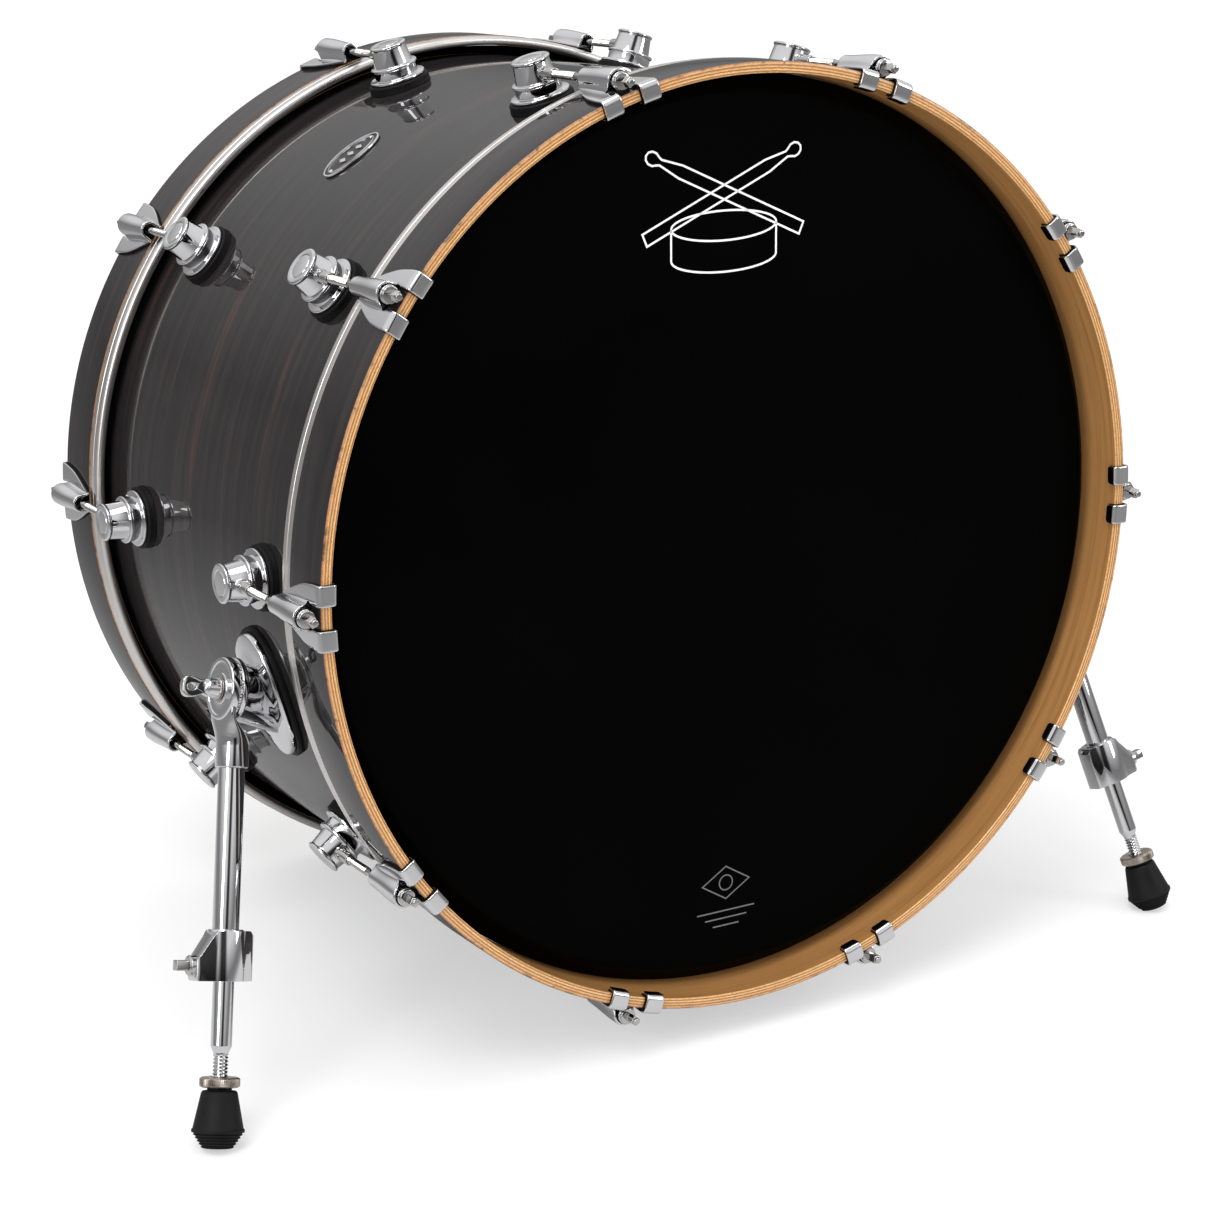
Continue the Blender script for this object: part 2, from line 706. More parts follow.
def along_outline(outline, depth):
    """The half width at a depth, along a smooth line through an outline's points."""
    at = min(max(depth, outline[0][0]), outline[-1][0])
    last = len(outline) - 1
    i = max(k for k in range(last) if outline[k][0] <= at)
    before, low, high, after = (outline[min(max(k, 0), last)] for k in (i - 1, i, i + 1, i + 2))
    span = high[0] - low[0]
    share = (at - low[0]) / span
    rise_in = (high[1] - before[1]) / (high[0] - before[0]) * span
    rise_out = (after[1] - low[1]) / (after[0] - low[0]) * span
    square = share * share
    cube = square * share
    return ((2 * cube - 3 * square + 1) * low[1] + (cube - 2 * square + share) * rise_in
            + (3 * square - 2 * cube) * high[1] + (cube - square) * rise_out)


def hook_path(clear, lip_end):
    """A hook's line round the hoop's edge as (depth, height), from the notch to the lip."""
    bend_start = 3
    lip = -HOOP_THICKNESS - clear
    run = [(lerp(NOTCH_END, bend_start, i / 4), clear) for i in range(4)]
    return run + rounded([
        (bend_start, clear, 0), (-clear, clear, 2.4), (-clear, lip, 2.2), (lip_end, lip, 0),
    ])


def claw_section(depth):
    """Half of the claw across its tube: (x, height) from the crown out to the arm's edge."""
    radius = eased(depth, TUBE_REAR, NOTCH_END, TUBE_REAR_RADIUS, TUBE_MOUTH_RADIUS)
    outer = along_outline(CLAW_OUTLINE, depth)
    share = min(max((depth - NOTCH_END) / (TUBE_REAR - NOTCH_END), 0.0), 1.0)
    foot = lerp(radius, outer, 0.232 + 0.42 * share)
    steps = 6
    points = []
    for k in range(steps + 1):
        angle = QUARTER * (1 - k / steps)
        points.append((radius * math.cos(angle), ROD_LIFT + radius * math.sin(angle)))
    for k in range(1, steps + 1):
        t = k / steps
        near = (1 - t) ** 2
        x = near * radius + 2 * t * (1 - t) * (radius + 0.2) + t * t * foot
        points.append((x, lerp(CLAW_CLEAR, ROD_LIFT, near)))
    arm = ARM_POINTS - 1
    return points + [(lerp(foot, outer, k / arm), CLAW_CLEAR) for k in range(1, arm + 1)]


def on_hoop(x, depth, height):
    """A claw point with the hoop's curvature taken off its height."""
    return (x, depth, height + math.sqrt(HOOP_RADIUS ** 2 - x ** 2) - HOOP_RADIUS)


def arm_rows(path, count, inner_trim=0.0, outer_trim=0.0):
    """Rows of points across one arm of the claw at each (depth, height) of a path."""
    rows = []
    for depth, height in path:
        inner = along_outline(NOTCH_OUTLINE, depth) - inner_trim
        outer = along_outline(CLAW_OUTLINE, depth) - outer_trim
        across = [lerp(inner, outer, k / (count - 1)) for k in range(count)]
        rows.append([on_hoop(x, depth, height) for x in across])
    return rows


def claw_modifiers(thickness, merge, **more):
    """Mirrors a claw's half and thickens it outwards."""
    return [
        ("MIRROR", {"use_axis": (True, False, False), "merge_threshold": merge}),
        ("SOLIDIFY", {"thickness": thickness, "offset": 1.0, "use_even_offset": True, **more}),
    ]


def claw_hook():
    """The claw: a sheet flaring from its tube into two hooks.

    X is sideways, Y the depth behind the hoop's face and Z outwards from its surface.
    """
    row_count = 12
    crown = ROD_LIFT + TUBE_MOUTH_RADIUS
    mouth = []
    for _, height in claw_section(NOTCH_END):
        fall = (crown - height) / (crown - CLAW_CLEAR)
        mouth.append(lerp(TUBE_MOUTH, NOTCH_END, fall ** 2.2))
    rows = []
    for i in range(row_count + 1):
        row = []
        for k, end_depth in enumerate(mouth):
            depth = lerp(TUBE_REAR, end_depth, i / row_count)
            x, height = claw_section(depth)[k]
            row.append(on_hoop(x, depth, height))
        rows.append(row)
    arm = [rows[-1][-ARM_POINTS:]] + arm_rows(hook_path(CLAW_CLEAR, 5.5)[1:], ARM_POINTS)
    modifiers = claw_modifiers(CLAW_SHEET, 0.01, edge_crease_inner=0.35, edge_crease_outer=0.35)
    modifiers.append(("SUBSURF", {"levels": 2, "render_levels": 2}))
    return modelled(sheet(rows, arm), "claw_sheet", 60, modifiers)


def claw_pad():
    """The thin rubber liner between a claw's two arms and the hoop."""
    clear = 0.2
    run = [(lerp(36, NOTCH_END, i / 8), clear) for i in range(8)]
    rows = arm_rows(run + hook_path(clear, 5.2), 4, 0.4, 0.1)
    return modelled(sheet(rows), "claw_pad", 50, claw_modifiers(1.0, 0.001))


def key_head(half, corner, low, high, bevel):
    """The square head that a drum key grips."""
    square = [(x * half, y * half, corner) for x, y in ((1, 1), (-1, 1), (-1, -1), (1, -1))]
    return bevelled(prism(rounded(square, closed=True, steps=4), low, high), bevel, 60)


def thread(top, low, radius, depth, pitch):
    """A helical V thread about Z."""
    count = int((top - low) / pitch * 6)
    rings = []
    for row in range(count + 1):
        z = lerp(top, low, row / count)
        ring = []
        for angle in turns(24):
            phase = ((top - z) / pitch + angle / math.tau) % 1.0
            local = radius - depth * abs(2 * phase - 1)
            ring.append((local * math.cos(angle), local * math.sin(angle), z))
        rings.append(ring)
    return skin(rings, caps=True)


def tension_rod():
    """The tension rod: square key head, flange, shank and thread; Z runs towards the lug."""
    shank = lathe([
        (0, 3, 0), (5.2, 3, 0.5), (5.2, 4.7, 0.5), (2.7, 5.4, 0.4), (2.7, 40, 0.4),
        (2.15, 42, 0.4), (2.15, 56.5, 0.1), (0, 56.5, 0),
    ], 36, steps=3)
    knob = lathe([
        (0, -7.5, 0), (1.9, -7.4, 0.5), (2.3, -6.4, 0.4), (2.3, -4.6, 0), (0, -4.6, 0),
    ], 28, steps=3)
    post = key_head(2.5, 0.6, -5.6, 3.4, 0.4)
    return finished([shank, thread(84, 56, 2.65, 0.45, 0.95), post, knob], "tension_rod")


def build_claws():
    hook = claw_hook()
    rod = tension_rod()
    pad = claw_pad()
    washer = turned("rod_washer", [
        (2.8, 4.9, 0.2), (5.6, 4.9, 0.4), (5.6, 6.6, 0.4), (2.8, 6.6, 0.2),
    ], 40, closed=True, steps=3)
    along_rod = shift(0, 0, ROD_LIFT) @ Matrix.Rotation(-QUARTER, 4, "X")
    spin = random.Random(14)
    for end in END_FRAMES:
        for number, angle in enumerate(LUG_ANGLES, start=1):
            name = "%s_claw_%02d" % (end, number)
            seat = around(END_FRAMES[end], angle, HOOP_RADIUS, -HALF_LENGTH)
            turn = Matrix.Rotation(spin.uniform(0, QUARTER), 4, "Z")
            for kind, mesh, matrix, coat, node in (
                ("_hook", hook, seat, CHROME, name),
                ("_rod", rod, seat @ along_rod @ turn, ROD_CHROME, None),
                ("_washer", washer, seat @ along_rod, CHROME, None),
                ("_pad", pad, seat, RUBBER, None),
            ):
                place(name + kind, mesh, matrix, end + "_hoop_set", coat, node)


# ---------------- spurs
class Spur:
    """One spur's frame, from its joints: X outwards from the drum and Z up along the leg."""

    def __init__(self, side):
        self.side = side
        pivot = Vector(JOINTS[side + "_leg_fold"]["pos_m"])
        self.sign = 1 if pivot.x > 0 else -1
        outward = joint_axis(side + "_leg_fold") * self.sign
        up = -joint_axis(side + "_leg_extend")
        self.frame = axes_frame(outward, up.cross(outward), up, pivot)

    def along(self, node):
        """A node's lowest and highest distances along the leg, up from the pivot."""
        to_leg = self.frame.inverted()
        vertices = frame["nodes"][self.side + node].data.vertices
        heights = [(to_leg @ vertex.co).z / MM for vertex in vertices]
        return min(heights), max(heights)

    def place(self, name, mesh, body, coat=None, node=None, seat=Matrix(), slot="leg_chrome"):
        """Adds a piece of this side; body and node are named without the side."""
        body = body if body == "shell_unit" else self.side + body
        node = self.side + node if node else None
        place(self.side + name, mesh, self.frame @ seat, body, coat or CHROME, node)


DISC_RADIUS = 19
DISC_BACK = -1                      # the two discs, measured outwards from the pivot
DISC_SPLIT = 4.5
DISC_FACE = 10
DISC_GAP = 0.15                     # each half's distance from the split
OUTWARDS = Matrix.Rotation(QUARTER, 4, "Y")               # local Z becomes the leg's X
BRACKET_LENGTH = 82                 # round the shell
BRACKET_WIDTH = 58                  # along the drum
GASKET_HEIGHT = 3.6


def moved(shape, matrix):
    bmesh.ops.transform(shape, matrix=matrix, verts=shape.verts)
    return shape


def bracket_centre(spur):
    """Angle from the top and Y of the bracket's base, midway between its screws."""
    screws = [
        (math.atan2(point.x, point.z), point.y)
        for point in drum_points(spur.side + "_leg_bracket")
        if math.hypot(point.x, point.z) < SHELL_RADIUS - SHELL_THICKNESS
    ]
    return [(min(values) + max(values)) / 2 for values in zip(*screws)]


def wrapped(centre, across, along, height):
    """A point on the shell: across runs round it from a centre (angle, y), along runs down it."""
    turn = centre[0] + across / SHELL_RADIUS
    radius = SHELL_RADIUS + height
    return Vector((radius * math.sin(turn), centre[1] + along, radius * math.cos(turn)))


def oval_stack(name, centre, rows):
    """A form of stacked ovals (length, width, height) wrapped on the shell."""
    rings = []
    for length, width, height in rows:
        ring = [
            wrapped(centre, length / 2 * math.cos(a), width / 2 * math.sin(a), height)
            for a in turns(72)
        ]
        rings.append(ring if length else ring[:1])
    return finished(skin(rings), name, 40)


def grown(length, width, rows):
    """Ovals from (growth, height) rows round one oval."""
    return [(length + growth, width + growth, height) for growth, height in rows]


def capped(rows):
    """Closes a stack of ovals at its first and last height."""
    return [(0, 0, rows[0][2]), *rows, (0, 0, rows[-1][2])]


def build_bracket(spur):
    centre = bracket_centre(spur)
    name = spur.side + "_bracket"
    length = BRACKET_LENGTH
    width = BRACKET_WIDTH
    rows = capped(grown(length, width, [(6, 0.1), (6.4, 0.8), (5.8, 3), (4.8, GASKET_HEIGHT)]))
    mesh = oval_stack(name + "_gasket", centre, rows)
    on_shell(name + "_gasket", mesh, GASKET)
    edge = [(-1, GASKET_HEIGHT)]
    for k in range(6):
        angle = QUARTER * k / 5
        edge.append((-3.2 * (1 - math.cos(angle)), 4.2 + 3.4 * math.sin(angle)))
    rows = [(0, 0, GASKET_HEIGHT)] + grown(length, width, edge) + [
        (0.80 * length, 0.76 * width, 8.6), (0.66 * length, 0.66 * width, 9.6),
        (0.55 * length, 0.62 * width, 11), (0, 0, 11.4),
    ]
    mesh = oval_stack(name + "_plate", centre, rows)
    on_shell(name + "_plate", mesh, node=spur.side + "_leg_bracket")
    build_pedestal(spur, centre, name)
    for number, offset in enumerate((-25, 25), start=1):
        seat = around(DRUM, centre[0] + offset / SHELL_RADIUS, SHELL_RADIUS, centre[1])
        on_shell("%s_screw_%d" % (name, number), shell_screw(), ROD_CHROME, matrix=seat)


def bar(start, end, radius):
    """A round bar between two points."""
    span = end - start
    shape = lathe([
        (0, 0, 0), (radius, 0, 0.4), (radius, span.length, 0.4), (0, span.length, 0),
    ], 40, steps=3)
    turn = span.to_track_quat("Z", "Y").to_matrix().to_4x4()
    return moved(shape, Matrix.Translation(start) @ turn)


PEDESTAL_BARS = [                   # height on the disc, distance down the plate, radius
    (-13.5, 19, 5), (15.5, -17, 2),
]


def build_pedestal(spur, centre, name):
    """The cup-shaped casting between the base plate and the folding joint, with its bars."""
    to_drum = TO_DRUM @ spur.frame
    out = wrapped(centre, 0, 0, 1) - wrapped(centre, 0, 0, 0)
    axis = to_drum.to_3x3() @ RIGHT

    def behind_disc(depth, height):
        return to_drum @ (Vector((DISC_BACK + depth, 0, height)) * MM) / MM

    foot = wrapped(centre, 0, 0, 7)
    head = behind_disc(0.5, 0)
    steps = 18
    rings = []
    for k in range(steps + 1):
        share = k / steps
        blend = eased(share, 0, 1)
        normal = out.lerp(axis, blend).normalized()
        side = Vector((0, 1, 0))
        side = (side - side.project(normal)).normalized()
        over = normal.cross(side)
        waist = 1 - 0.22 * math.sin(math.pi * share)
        side *= lerp(16, 17.8, blend) * waist
        over *= lerp(24, 17.8, blend) * waist
        spot = foot.lerp(head, share)
        rings.append([spot + side * math.cos(a) + over * math.sin(a) for a in turns(64)])
    mesh = finished(skin(rings, caps=True), name + "_pedestal", 45)
    on_shell(name + "_pedestal", mesh)
    for number, (up, down, radius) in enumerate(PEDESTAL_BARS, start=1):
        end = wrapped(centre, down * spur.sign, -9, 5)
        mesh = finished(bar(behind_disc(0.6, up), end, radius), name + "_bar_%d" % number)
        on_shell(mesh.name, mesh)


def serrated(radius, depth, count, angle):
    return radius - depth * (0.5 + 0.5 * math.cos(count * angle))


def fixed_disc():
    """The bracket's half of the folding joint, with a toothed edge at the split."""
    split = DISC_SPLIT - DISC_GAP

    def teeth(radius, height, angle):
        toothed = height > split - 1.4 and radius > 12
        return serrated(radius, 0.35, 60, angle) if toothed else radius

    return turned("fixed_disc", [
        (5, split, 0), (DISC_RADIUS - 1, split, 0.2), (DISC_RADIUS - 0.9, split - 1.3, 0.2),
        (DISC_RADIUS, split - 1.7, 0.4), (DISC_RADIUS, DISC_BACK, 1.4), (5, DISC_BACK, 0),
    ], 240, closed=True, scallop=teeth)


NECK_ROWS = [                       # distance down the leg, centre x, half size in x and y
    (6, 7.0, 2.2, 15.5), (13, 6.9, 2.25, 15.2), (18.5, 6.4, 2.9, 14.2), (22, 4.6, 5.2, 12.9),
    (26, 2.2, 7.8, 11.9), (30, 0.6, 9.4, 11.1), (34, 0.0, 9.85, 10.8),
]


def leg_joint():
    """The moving disc, its neck and the socket."""
    top = DISC_FACE
    split = DISC_SPLIT + DISC_GAP
    disc = moved(lathe([
        (4.7, top - 0.2, 0.3), (9, top - 0.2, 0.4), (9.4, top - 0.8, 0.3),
        (15.8, top - 0.8, 0.3), (16.3, top, 0.4), (DISC_RADIUS, top, 1.1),
        (DISC_RADIUS, split, 0.6), (4.7, split, 0.2),
    ], 96, closed=True), OUTWARDS)
    rings = []
    for down, centre, half_x, half_y in NECK_ROWS:
        squareness = 2 / eased(down, 14, 30, 4, 2)
        ring = []
        for angle in turns(56):
            x, y = (math.copysign(abs(side) ** squareness, side)
                    for side in (math.cos(angle), math.sin(angle)))
            ring.append((centre + half_x * x, half_y * y, -down))
        rings.append(ring)
    socket = lathe([
        (0, -33, 0), (9.85, -33, 0), (9.85, -47, 0.8), (7.6, -47, 0.2), (7.6, -44, 0),
        (0, -44, 0),
    ], 56)
    socket = moved(socket, Matrix.Diagonal((1.0, 1.1, 1.0, 1.0)))
    return finished([disc, skin(rings, caps=True), socket], "leg_joint")


def leg_tube(low):
    """The outer tube, open at its lower end."""
    return turned("leg_tube", [
        (0, -45, 0), (7.95, -45, 0.2), (7.95, low, 0.5), (6.6, low, 0.3), (6.6, -52, 0),
        (0, -52, 0),
    ])


CLAMP_BORE = 8.2
CLAMP_HALF = [                      # one side of the block's outline
    (-16, 0), (-16, 4.6), (-15.2, 6.4), (-13.4, 7.3), (-10.4, 8), (-8.2, 9.4), (-5, 11.2),
    (0, 12), (5, 11.2), (8.4, 9.4), (11, 8), (18, 7.4), (20.2, 6.4), (21, 4.4), (21, 0),
]


def clamp_block(low, high):
    """The clamp's block: a bulged sleeve between two jaws, cut slantwise at the top."""
    outline = CLAMP_HALF + [(x, -y) for x, y in reversed(CLAMP_HALF[1:-1])]
    angles = [math.atan2(y, x) for x, y in outline]
    bore = [(CLAMP_BORE * math.cos(angle), CLAMP_BORE * math.sin(angle)) for angle in angles]
    shape = prism(outline, low, high, bore)
    for x, height, normal in (
        (8.5, high, (20, 0, 13.5)), (19, low, (1, 0, -0.9)), (-13, high, (-1, 0, 0.9)),
    ):
        cut = bmesh.ops.bisect_plane(
            shape, geom=shape.verts[:] + shape.edges[:] + shape.faces[:],
            plane_co=(x, 0, height), plane_no=Vector(normal), clear_outer=True)
        rim = [item for item in cut["geom_cut"] if isinstance(item, bmesh.types.BMEdge)]
        bmesh.ops.contextual_create(shape, geom=rim)
    return finished(bevelled(shape, 0.9, 32), "clamp_block", 32)


def build_clamp(spur):
    low, high = spur.along("_leg_clamp")
    spur.place("_clamp_block", clamp_block(low, high), "_leg", node="_leg_clamp")
    lip = turned("clamp_lip", [
        (8.05, high + 0.9, 0.3), (10.6, high + 0.7, 0.5), (11, high - 1, 0.2),
        (8.05, high - 1, 0),
    ], 48, closed=True)
    spur.place("_clamp_lip", lip, "_leg")
    flange = lathe([
        (0, 3.2, 0), (4.6, 3.2, 0.5), (6, 2.2, 0.4), (6, -2, 0), (0, -2, 0),
    ], 32, steps=3)
    screw = finished([flange, key_head(3.1, 0.7, 2, 10.8, 0.5)], "clamp_screw")
    seat = shift(20.8, 0, low + 9) @ OUTWARDS
    spur.place("_clamp_screw", screw, "_leg", ROD_CHROME, seat=seat)


WING_ROOT = 6.5                     # distances outwards from the joint's face
WING_TIP = 24.5
WING_END = WING_TIP - 4             # where the rounded end starts
WING_EYE = 18.5
WING_HALF_THICKNESS = 2.25


def wing_grip():
    """The bolt's flat grip, pierced near its end, with X outwards."""
    upper = []
    for k in range(23):
        x = lerp(WING_ROOT, WING_END, k / 22)
        upper.append((x, 4 + eased(x, 10, 19, 0, 2.25) + eased(x, 12, 7, 0, 1.6)))
    for k in range(1, 8):
        angle = QUARTER * k / 8
        upper.append((WING_END + 4 * math.sin(angle), 6.25 * math.cos(angle) ** 0.7))
    outline = upper + [(WING_TIP, 0)] + [(x, -z) for x, z in reversed(upper)]
    eye = []
    for x, z in outline:
        angle = math.atan2(z, x - WING_EYE)
        eye.append((WING_EYE + 2.9 * math.cos(angle), 1.9 * math.sin(angle)))
    shape = prism(outline, -WING_HALF_THICKNESS, WING_HALF_THICKNESS, eye)
    return bevelled(moved(shape, FACING_FRONT), 0.8, 50)


def build_wing_bolt(spur):
    """The bolt that locks the folding joint, on a thin brownish washer."""
    hub = lathe([
        (0, 10.6, 0), (3.6, 10.6, 1.4), (5.4, 8, 1.6), (6.3, 2.6, 0.8), (6.6, 0.9, 0.3),
        (4, 0.9, 0.1), (4, -14, 0.4), (0, -14.3, 0),
    ], 48)
    mesh = finished([moved(hub, OUTWARDS), wing_grip()], "wing_bolt")
    seat = shift(DISC_FACE, 0, 0)
    spur.place("_wing", mesh, "_wing_bolt", node="_wing_bolt", seat=seat)
    washer = turned("wing_washer", [
        (4.2, 0, 0.1), (7.3, 0, 0.3), (7.3, 0.8, 0.3), (4.2, 0.8, 0.1),
    ], 48, closed=True)
    spur.place("_wing_washer", washer, "_wing_bolt", NICKEL, seat=seat @ OUTWARDS)


ROD_SHOULDER = -215.5               # where the inner rod ends and its spike begins
SPIKE_POINT = 7


def build_leg_rod(spur):
    low, high = spur.along("_leg_rod")
    spike = low + SPIKE_POINT
    point = lathe([(0, spike + 0.5, 0), (4.1, spike + 0.1, 0), (0, low, 0)], 24)
    mesh = finished([thread(ROD_SHOULDER, spike, 4.75, 1.15, 2.1), point], "leg_thread")
    spur.place("_thread", mesh, "_leg_rod")
    mesh = turned("leg_rod", [
        (0, high, 0), (6.25, high, 0.6), (6.25, ROD_SHOULDER + 4.6, 1.6),
        (4.5, ROD_SHOULDER + 0.6, 0.6), (4.4, ROD_SHOULDER - 0.8, 0.2),
        (0, ROD_SHOULDER - 0.8, 0),
    ], 56, steps=5)
    spur.place("_rod", mesh, "_leg_rod", node="_leg_rod")


def build_lock_nut(spur):
    low, high = spur.along("_lock_nut")

    def knurl(radius, height, angle):
        return serrated(radius, 0.28, 64, angle) if radius > 11.4 else radius

    mesh = turned("lock_nut", [
        (5.1, high, 0.3), (10.6, high, 0.3), (12, high - 0.9, 0.4), (12, low + 0.9, 0.4),
        (10.8, low, 0.3), (5.1, low, 0.3),
    ], 256, closed=True, steps=3, scallop=knurl)
    spur.place("_nut", mesh, "_lock_nut", NICKEL, "_lock_nut", slot="nut_nickel")


FOOT_HEIGHT = 35                    # before its tip is worn flat
FOOT_RING = 25                      # the ring's distance below the top
FOOT_RIBS = 5


def build_foot(spur):
    """The rubber foot: neck, cone, ring and a ribbed tip worn flat on the floor."""
    high = spur.along("_rubber_foot")[1]
    ring = high - FOOT_RING
    tip = high - FOOT_HEIGHT
    corners = [
        (5.1, high - 0.1, 0), (7.2, high - 0.1, 0.3), (7.4, high - 1.5, 0.3),
        (10, high - 1.7, 0.6), (10.8, high - 3, 0.6), (15, ring + 1.6, 0.4),
        (15.7, ring + 0.9, 0.3), (15.7, ring - 0.6, 0.3),
    ]
    for k in range(FOOT_RIBS):
        share = (k + 0.5) / FOOT_RIBS
        radius = lerp(15.2, 9.2, share)
        height = lerp(ring - 0.8, tip, share)
        corners += [(radius - 0.7, height + 0.45, 0.15), (radius + 0.15, height - 0.35, 0.25)]
    corners += [(8.6, tip, 0.3), (5.1, tip, 0)]
    shape = lathe(corners, 80, steps=3, closed=True)
    floor_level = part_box(spur.side + "_rubber_foot")[0].z
    to_leg = spur.frame.inverted()
    for vertex in shape.verts:
        spot = spur.frame @ (vertex.co * MM)
        if spot.z < floor_level:
            spot.z = floor_level
            vertex.co = to_leg @ spot / MM
    mesh = finished(shape, "rubber_foot", 30)
    spur.place("_foot", mesh, "_rubber_foot", RUBBER, "_rubber_foot", slot="foot_rubber")


def build_spur(side):
    spur = Spur(side)
    build_bracket(spur)
    spur.place("_fixed_disc", fixed_disc(), "shell_unit", seat=OUTWARDS)
    spur.place("_leg_joint", leg_joint(), "_leg", node="_leg_tube")
    spur.place("_tube", leg_tube(spur.along("_leg_tube")[0]), "_leg")
    build_clamp(spur)
    build_wing_bolt(spur)
    build_leg_rod(spur)
    build_lock_nut(spur)
    build_foot(spur)


# ---------------- badge and head prints
BADGE_LENGTH = 45
BADGE_WIDTH = 28


def build_badge():
    """The blank oval badge: enamel, two bright lines, two pins and three lozenges."""
    spot = TO_DRUM @ middle("badge") / MM
    centre = (math.atan2(spot.x, spot.z), spot.y)

    def ovals(name, rows, coat, node=None):
        on_shell(name, oval_stack(name, centre, rows), coat, node)

    def row_of(name, offsets, mesh):
        for number, offset in enumerate(offsets, start=1):
            seat = around(DRUM, centre[0] + offset / SHELL_RADIUS, SHELL_RADIUS, centre[1])
            on_shell("%s_%d" % (name, number), mesh, CHROME, matrix=seat)

    plate = grown(BADGE_LENGTH, BADGE_WIDTH, [(-0.8, 0.2), (-0.3, 0.5), (-1.2, 1.1)])
    ovals("badge_plate", [(0, 0, 0.2), *plate, (0, 0, 1.25)], ENAMEL, "badge")
    for name, grow, width in (("badge_rim", 0, 1.3), ("badge_line", -7, 0.7)):
        inner = -2 * width
        rows = [(inner, 1.0), (inner + 0.3, 1.75), (-0.4, 1.75), (0, 1.3), (0, 0.6)]
        ovals(name, grown(BADGE_LENGTH + grow, BADGE_WIDTH + grow, rows), CHROME)
    pin = turned("badge_pin", [(0, 2.3, 0), (1.1, 2.1, 0.5), (1.6, 1.2, 0.2), (0, 1, 0)], 24)
    row_of("badge_pin", (-17.4, 17.4), pin)
    lozenge = prism([(0, 4.6), (2.4, 0), (0, -4.6), (-2.4, 0)], 1.1, 1.8)
    lozenge = finished(bevelled(lozenge, 0.25, 40, segments=2), "badge_lozenge")
    row_of("badge_lozenge", (-7, 0, 7), lozenge)


def ribbon(points, width, closed=False):
    """Rows of two points along a flat stroke in the XZ plane, facing the front."""
    line = [Vector(point) for point in points]
    before, after = 2 * line[0] - line[1], 2 * line[-1] - line[-2]
    if closed:
        before, after = line[-1], line[0]
    line = [before, *line, after]
    rows = []
    for before, here, after in zip(line, line[1:], line[2:]):
        incoming = (here - before).normalized()
        mitre = (incoming + (after - here).normalized()).normalized()
        reach = width / 2 / max(mitre.dot(incoming), 0.5)
        across = Vector((mitre.y, -mitre.x)) * reach
        rows.append([(spot.x, 0, spot.y) for spot in (here + across, here - across)])
    return rows + rows[:1] if closed else rows


def printed(name, strokes, x, z, paint):
    """Strokes printed on the front film as one thin piece."""
    mesh = modelled(sheet(*strokes), name, 35)
    above_film = 0.12
    matrix = DRUM @ shift(x, -FILM_FRONT - above_film, z)
    place(name, mesh, matrix, "front_hoop_set", paint)


def stick(angle, length, thick):
    """The outline of a drumstick through the origin."""
    half = length / 2
    shaft = [(-half, -thick / 2), (half * 0.55, -thick / 2), (half * 0.80, -thick * 0.22)]
    bead = ellipse(thick * 0.62, thick * 0.52, half * 0.90, 0, -140, 140, 8)
    outline = shaft + bead + [(x, -y) for x, y in reversed(shaft)]
    turn = Matrix.Rotation(angle, 2)
    return [turn @ Vector(point) for point in outline]


def ellipse(rx, rz, x=0.0, z=0.0, start=0.0, end=360.0, count=48):
    """Points along an ellipse's arc, angles in degrees."""
    angles = [math.radians(lerp(start, end, k / count)) for k in range(count + 1)]
    return [(x + rx * math.cos(angle), z + rz * math.sin(angle)) for angle in angles]


def build_prints():
    """A generic outlined emblem, crossed sticks over a drum, and a small grey ornament."""
    line = 1.25
    strokes = [ribbon(ellipse(38, 9, 0, -8)[:-1], line, closed=True)]
    strokes.append(ribbon(
        [(-38, -8), (-38, -27), *ellipse(38, 9, 0, -27, 180, 360)[1:], (38, -8)], line))
    for angle in (24, 156):
        outline = [point + Vector((0, 12)) for point in stick(math.radians(angle), 124, 8)]
        strokes.append(ribbon(outline, line, closed=True))
    printed("front_emblem", strokes, -11, 207, WHITE_INK)
    strokes = [
        ribbon([(-18, 9), (0, 20), (18, 9), (0, -2)], 0.8, closed=True),
        ribbon(ellipse(5, 5, 0, 9)[:-1], 0.8, closed=True),
    ]
    for half, z in ((22, -10), (16, -15), (10, -20)):
        strokes.append(ribbon([(-half, z), (half, z)], 0.9))
    printed("front_ornament", strokes, -8, -232, GREY_INK)


# ---------------- stage
def soft_light(name, position, size, power):
    """A soft box aimed at the drum."""
    data = bpy.data.lights.new(name, "AREA")
    data.shape = "RECTANGLE"
    data.size, data.size_y = size
    data.energy = power
    light = linked(name, data)
    light.location = position
    direction = Vector((0, 0, 0.3)) - Vector(position)
    light.rotation_euler = direction.to_track_quat("-Z", "Y").to_euler()


FLOOR_SIZE = 30000
FLOOR_GLOW = 0.50                   # keeps the drum's shadow pale


def build_floor():
    """A pale floor; it is darker where the plating and lacquer mirror it far away."""
    shape = bmesh.new()
    bmesh.ops.create_grid(shape, x_segments=2, y_segments=2, size=FLOOR_SIZE)
    mesh = finished(shape, "floor")
    graph = paint("pale_floor", 0.9)
    cloud = graph.noise(1.5, 2.0, 0.5)
    pale = graph.ramp(cloud, (0.3, 0.885), (0.7, 0.90))
    seen = graph.ramp(cloud, (0.3, 0.455), (0.7, 0.465))
    distance = graph.range(graph.radius(), 0.3, 1.6, 0.0, 1.0)
    mirrored = graph.ramp(distance, (0.0, 0.66), (0.5, 0.36), (1.0, 0.22))
    paths = graph.add("ShaderNodeLightPath").outputs
    light = graph.mix(paths["Is Glossy Ray"], pale, mirrored)
    graph.set(
        Base_Color=graph.mix(paths["Is Camera Ray"], light, seen),
        Specular_IOR_Level=0.0,
        Emission_Color=(1.0, 1.0, 1.0),
        Emission_Strength=graph.maths("MULTIPLY", paths["Is Camera Ray"], FLOOR_GLOW),
    )
    mesh.materials.append(graph.owner)
    linked("floor", mesh)


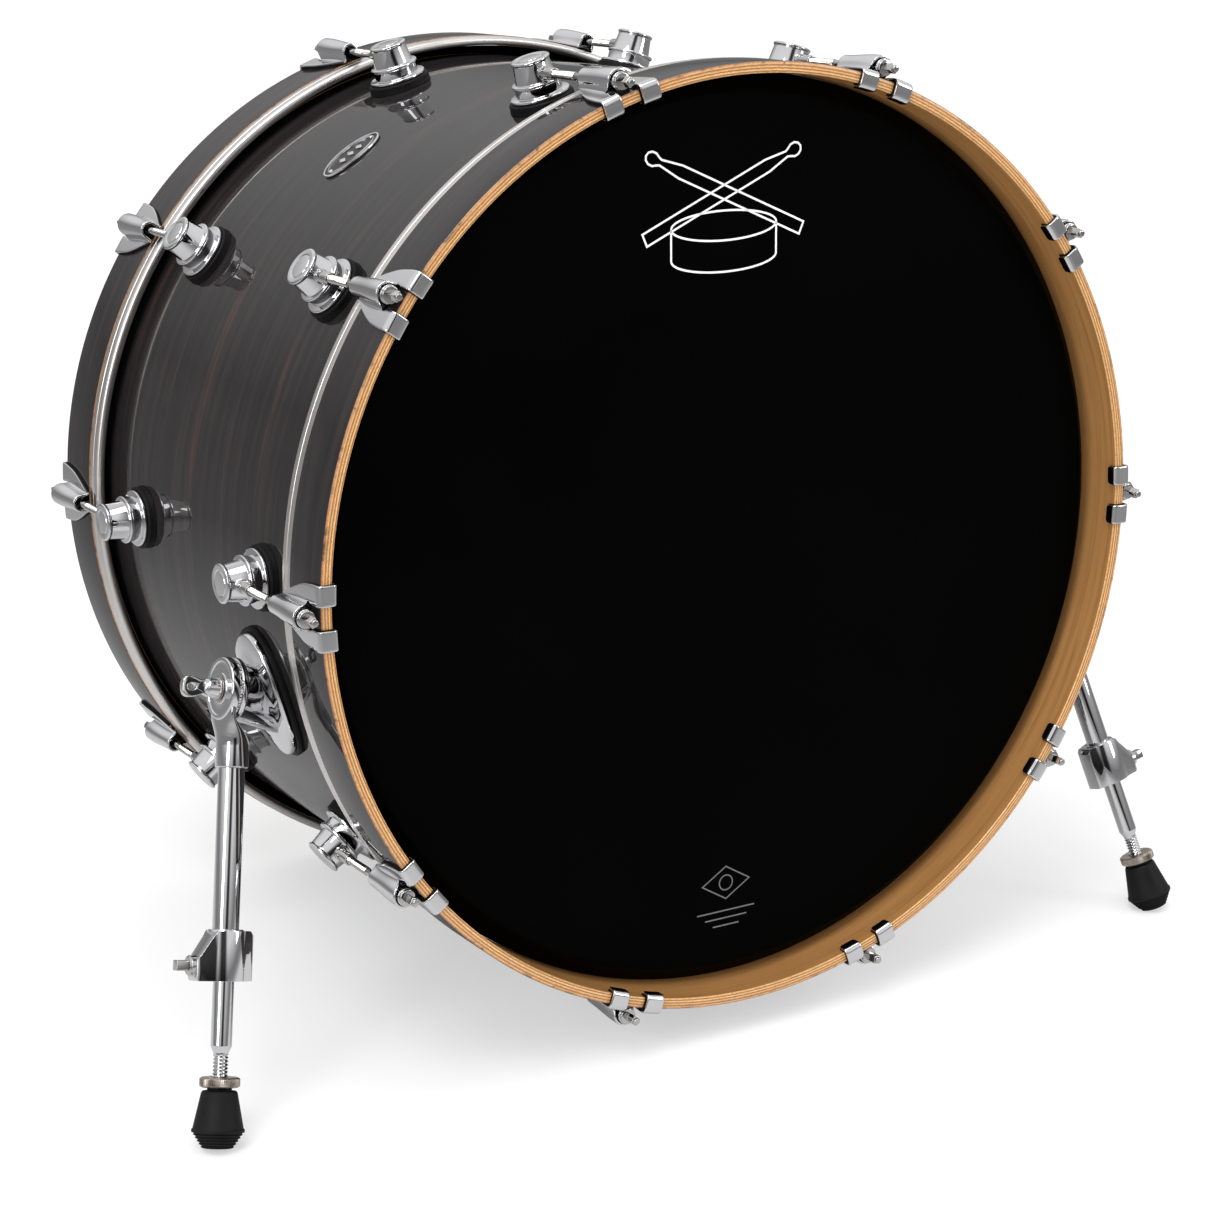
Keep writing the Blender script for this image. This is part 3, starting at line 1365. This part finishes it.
VIEW_X, VIEW_Y = 0.242, 0.970       # the level direction that the camera looks along


def build_world():
    """A pale studio; mirror-like surfaces see its dark front and the band along the horizon."""
    world = bpy.data.worlds.new("studio")
    bpy.context.scene.world = world
    graph = Graph(world, "Background")
    x, y, z = (graph.axis(name, graph.space["Generated"]) for name in "XYZ")
    height = graph.ramp(
        graph.maths("MULTIPLY_ADD", z, 0.5, 0.5),
        (0.48, 0.30), (0.54, 0.24), (0.60, 0.45), (0.70, 0.85), (0.85, 0.95), (1.00, 0.70),
    )
    aside = graph.maths("ADD", graph.maths("MULTIPLY", x, VIEW_Y),
                        graph.maths("MULTIPLY", y, -VIEW_X))
    ahead = graph.maths("SUBTRACT", graph.maths("MULTIPLY", x, -VIEW_X),
                        graph.maths("MULTIPLY", y, VIEW_Y))
    sweep = graph.maths("ABSOLUTE", graph.maths("ARCTAN2", aside, ahead))
    room = graph.mix(1.0, height, graph.range(sweep, 0.12, 0.32, 0.06, 1.0), "MULTIPLY")
    paths = graph.add("ShaderNodeLightPath").outputs
    seen = graph.mix(paths["Is Camera Ray"], (0.92, 0.92, 0.92), (1.0, 1.0, 1.0))
    graph.set(Color=graph.mix(paths["Is Glossy Ray"], seen, room))


CAMERA_AZIMUTH = math.radians(-31.26)
CAMERA_ELEVATION = math.radians(14.67)
CAMERA_ROLL = math.radians(0.51)
CAMERA_DISTANCE = 5.979             # in hoop radii
CAMERA_AIM = (-0.124, 0.4, -0.193)  # in hoop radii from the middle of the front hoop's face
CAMERA_LENS = 80.8


def build_camera():
    """The studio camera, aimed in the drum's frame."""
    radius = HOOP_RADIUS * MM
    target = Vector(CAMERA_AIM) * radius - Vector((0, HALF_LENGTH * MM, 0))
    level = math.cos(CAMERA_ELEVATION)
    toward = Vector((
        math.sin(CAMERA_AZIMUTH) * level,
        -math.cos(CAMERA_AZIMUTH) * level,
        math.sin(CAMERA_ELEVATION),
    ))
    right = toward.cross(Vector((0, 0, -1))).normalized()
    spot = target + toward * CAMERA_DISTANCE * radius
    pose = axes_frame(right, toward.cross(right), toward, spot)
    data = bpy.data.cameras.new("camera")
    data.sensor_width = 36.0
    data.lens = CAMERA_LENS
    camera = linked("camera", data)
    camera.matrix_world = DRUM @ Matrix.Rotation(CAMERA_ROLL, 4, "Y") @ pose
    bpy.context.scene.camera = camera


def build_stage():
    bpy.context.scene.view_settings.view_transform = "Standard"
    build_floor()
    build_world()
    build_camera()
    data = bpy.data.lights.new("sun", "SUN")
    data.energy = 1.1
    data.angle = math.radians(25)
    linked("sun", data).rotation_euler = (math.radians(18), math.radians(-28), 0)
    soft_light("left", (-3.2, -1.6, 1.5), (1.0, 1.8), 30)
    soft_light("right", (2.6, -2.6, 1.7), (0.9, 1.6), 25)
    soft_light("above", (-0.3, -0.4, 3.0), (2.0, 1.4), 20)


build_shell()
for end_name in END_FRAMES:
    build_hoop(end_name)
    build_head(end_name)
build_lugs()
build_claws()
for side_name in ("left", "right"):
    build_spur(side_name)
build_badge()
build_prints()
build_stage()
